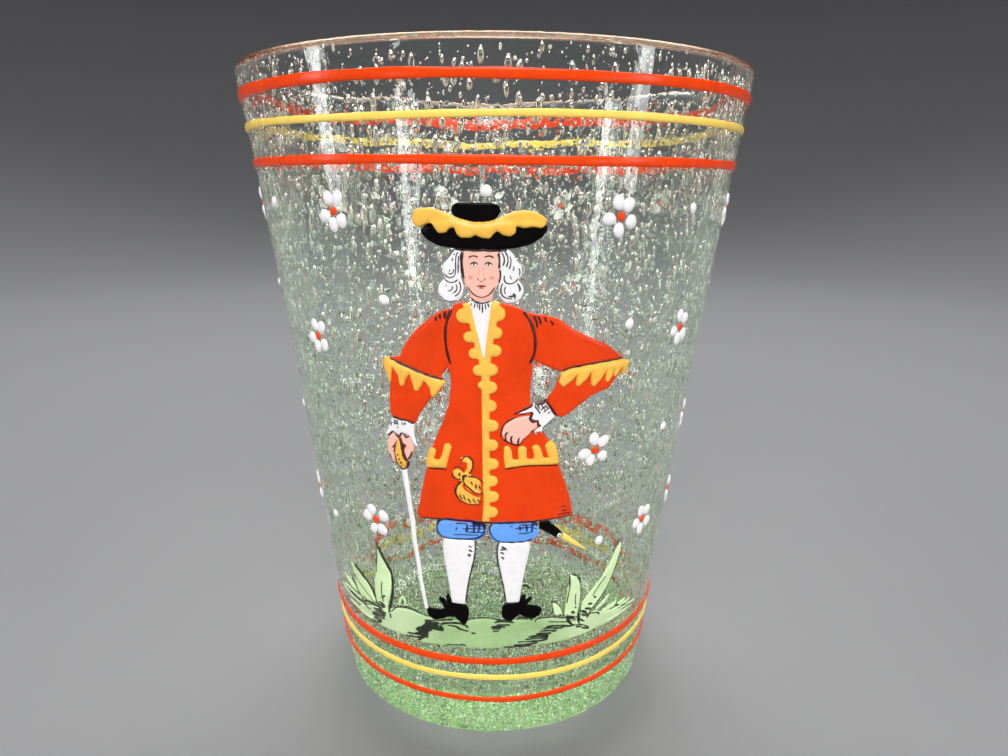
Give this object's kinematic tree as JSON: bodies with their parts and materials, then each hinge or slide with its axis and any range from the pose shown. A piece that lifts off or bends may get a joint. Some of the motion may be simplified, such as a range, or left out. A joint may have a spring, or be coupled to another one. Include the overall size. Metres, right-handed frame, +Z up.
{
  "type": "glass beaker",
  "caption": "Flared drinking beaker of thick, pale green bubble glass with a gilt lip, raised enamel rings, a painted standing figure on grass and strewn flowers.",
  "frame": {"origin": "centre of the foot, on the surface that the beaker stands on", "axes": "+Z up along the beaker's axis, -Y towards the painted figure, +X to the viewer's right"},
  "size_m": [0.098, 0.098, 0.125],
  "materials": {
    "glass": "clear, pale green, full of small air bubbles",
    "gilding": "thin fired gilding, worn",
    "red_enamel": "glossy fired enamel, orange red",
    "yellow_enamel": "glossy fired enamel, warm yellow",
    "white_enamel": "glossy fired enamel, opaque white",
    "black_enamel": "glossy fired enamel, black",
    "blue_enamel": "glossy fired enamel, light blue",
    "green_enamel": "thin, slightly clear fired enamel, pale green",
    "flesh_enamel": "glossy fired enamel, pale flesh"
  },
  "bodies": {
    "root": {"glass_body": "glass", "gilt_rim": "gilding", "rim_band_red_upper": "red_enamel", "rim_band_yellow": "yellow_enamel", "rim_band_red_lower": "red_enamel", "foot_band_red_upper": "red_enamel", "foot_band_yellow": "yellow_enamel", "foot_band_red_lower": "red_enamel", "hat_crown": "black_enamel", "hat_brim": "black_enamel", "hat_lace": "yellow_enamel", "head": "flesh_enamel", "wig_left": "white_enamel", "wig_right": "white_enamel", "neck_cloth": "white_enamel", "coat_body": "red_enamel", "sleeve_left_upper": "red_enamel", "sleeve_left_lower": "red_enamel", "sleeve_right_upper": "red_enamel", "sleeve_right_lower": "red_enamel", "front_lace": "yellow_enamel", "cuff_lace_left": "yellow_enamel", "cuff_lace_right": "yellow_enamel", "pocket_lace_left": "yellow_enamel", "pocket_lace_right": "yellow_enamel", "shirt_cuff_left": "white_enamel", "shirt_cuff_right": "white_enamel", "hand_left": "flesh_enamel", "hand_right": "flesh_enamel", "cane_handle": "yellow_enamel", "cane": "white_enamel", "sword_hilt": "yellow_enamel", "scabbard": "black_enamel", "scabbard_tip": "yellow_enamel", "breeches_left": "blue_enamel", "breeches_right": "blue_enamel", "stocking_left": "white_enamel", "stocking_right": "white_enamel", "shoe_left": "black_enamel", "shoe_right": "black_enamel", "grass_mound": "green_enamel", "leaf_left_tall": "green_enamel", "leaf_left_broad": "green_enamel", "leaf_left_low": "green_enamel", "leaf_right_small": "green_enamel", "leaf_right_upright": "green_enamel", "leaf_right_long": "green_enamel", "flower_1": "white_enamel", "flower_2": "white_enamel", "flower_3": "white_enamel", "flower_4": "white_enamel", "flower_5": "white_enamel", "flower_6": "white_enamel", "flower_7": "white_enamel", "flower_8": "white_enamel", "flower_9": "white_enamel", "flower_10": "white_enamel", "flower_11": "white_enamel", "flower_12": "white_enamel"}
  },
  "joints": []
}
